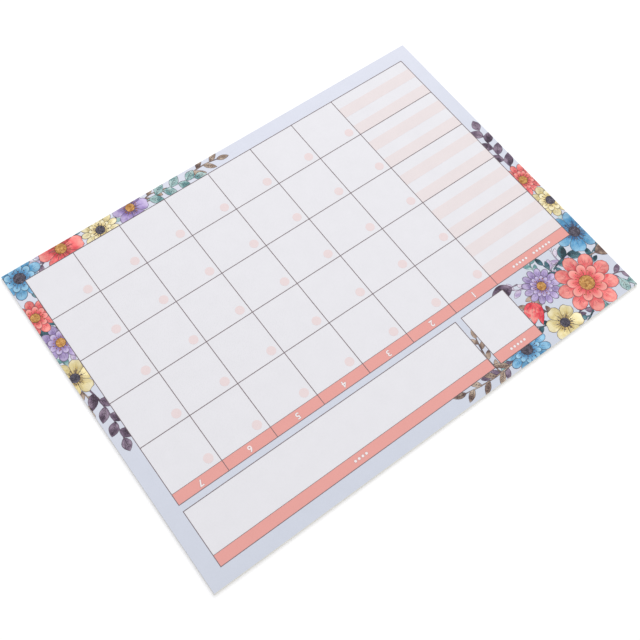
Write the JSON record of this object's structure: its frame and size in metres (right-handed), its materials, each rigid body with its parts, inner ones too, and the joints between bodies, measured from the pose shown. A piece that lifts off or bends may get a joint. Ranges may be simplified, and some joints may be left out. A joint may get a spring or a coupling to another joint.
{
  "type": "planner notepad",
  "caption": "Landscape monthly planner pad: a glued block of leaves on greyboard, the top leaf printed with a calendar grid, memo boxes and a floral border.",
  "frame": {"origin": "middle of the pad's outline, on the surface that it lies on", "axes": "+X to the right along the page's width, +Y up the page towards its glued head edge, +Z out of the printed face"},
  "size_m": [0.2794, 0.2034, 0.0017],
  "materials": {
    "paper": "uncoated bright white writing paper, dead matt",
    "greyboard": "unlined greyboard with flecks of recycled fibre",
    "padding_glue": "dried white padding glue, soft satin",
    "tint_ink": "pale blue printed tint on uncoated paper",
    "band_ink": "solid coral printed tint on uncoated paper",
    "blush_ink": "very pale pink printed tint on uncoated paper",
    "rule_ink": "fine printed line in warm dark grey",
    "coral_ink": "printed wash of coral red",
    "blue_ink": "printed wash of clear blue",
    "yellow_ink": "printed wash of straw yellow",
    "lilac_ink": "printed wash of lilac",
    "teal_ink": "printed wash of dark teal",
    "sage_ink": "printed wash of pale sea green",
    "taupe_ink": "printed wash of warm taupe",
    "plum_ink": "printed wash of muted plum",
    "dark_eye_ink": "dark printed centre of a flower",
    "gold_eye_ink": "ochre printed centre of a flower"
  },
  "bodies": {
    "root": {"backing_board": "greyboard", "head_glue": "padding_glue", "leaf_block": "paper", "print_blue_aster_eye": "dark_eye_ink", "print_blue_aster_petals": "blue_ink", "print_blue_cosmos_eye": "dark_eye_ink", "print_blue_cosmos_petals": "blue_ink", "print_blue_daisy_eye": "dark_eye_ink", "print_blue_daisy_petals": "blue_ink", "print_border_tint": "tint_ink", "print_calendar_band": "band_ink", "print_calendar_rules": "rule_ink", "print_coral_aster_eye": "gold_eye_ink", "print_coral_aster_petals": "coral_ink", "print_coral_button_eye": "gold_eye_ink", "print_coral_button_petals": "coral_ink", "print_coral_cosmos_eye": "gold_eye_ink", "print_coral_cosmos_petals": "coral_ink", "print_coral_daisy_eye": "gold_eye_ink", "print_coral_daisy_petals": "coral_ink", "print_coral_tulip_petals": "coral_ink", "print_lilac_aster_eye": "gold_eye_ink", "print_lilac_aster_petals": "lilac_ink", "print_lilac_cosmos_eye": "gold_eye_ink", "print_lilac_cosmos_petals": "lilac_ink", "print_lilac_daisy_eye": "gold_eye_ink", "print_lilac_daisy_petals": "lilac_ink", "print_memo_band": "band_ink", "print_memo_rules": "rule_ink", "print_month_band": "band_ink", "print_month_rules": "rule_ink", "print_notes_stripe_1": "blush_ink", "print_notes_stripe_10": "blush_ink", "print_notes_stripe_2": "blush_ink", "print_notes_stripe_3": "blush_ink", "print_notes_stripe_4": "blush_ink", "print_notes_stripe_5": "blush_ink", "print_notes_stripe_6": "blush_ink", "print_notes_stripe_7": "blush_ink", "print_notes_stripe_8": "blush_ink", "print_notes_stripe_9": "blush_ink", "print_plum_leaf": "plum_ink", "print_plum_sprig": "plum_ink", "print_plum_tendril": "plum_ink", "print_sage_sprig": "sage_ink", "print_sage_tendril": "sage_ink", "print_taupe_leaf": "taupe_ink", "print_taupe_sprig": "taupe_ink", "print_taupe_tendril": "taupe_ink", "print_teal_berries": "teal_ink", "print_teal_sprig": "teal_ink", "print_teal_tendril": "teal_ink", "print_yellow_aster_eye": "dark_eye_ink", "print_yellow_aster_petals": "yellow_ink", "print_yellow_button_eye": "dark_eye_ink", "print_yellow_button_petals": "yellow_ink", "print_yellow_cosmos_eye": "dark_eye_ink", "print_yellow_cosmos_petals": "yellow_ink", "print_yellow_daisy_eye": "dark_eye_ink", "print_yellow_daisy_petals": "yellow_ink"}
  },
  "joints": []
}
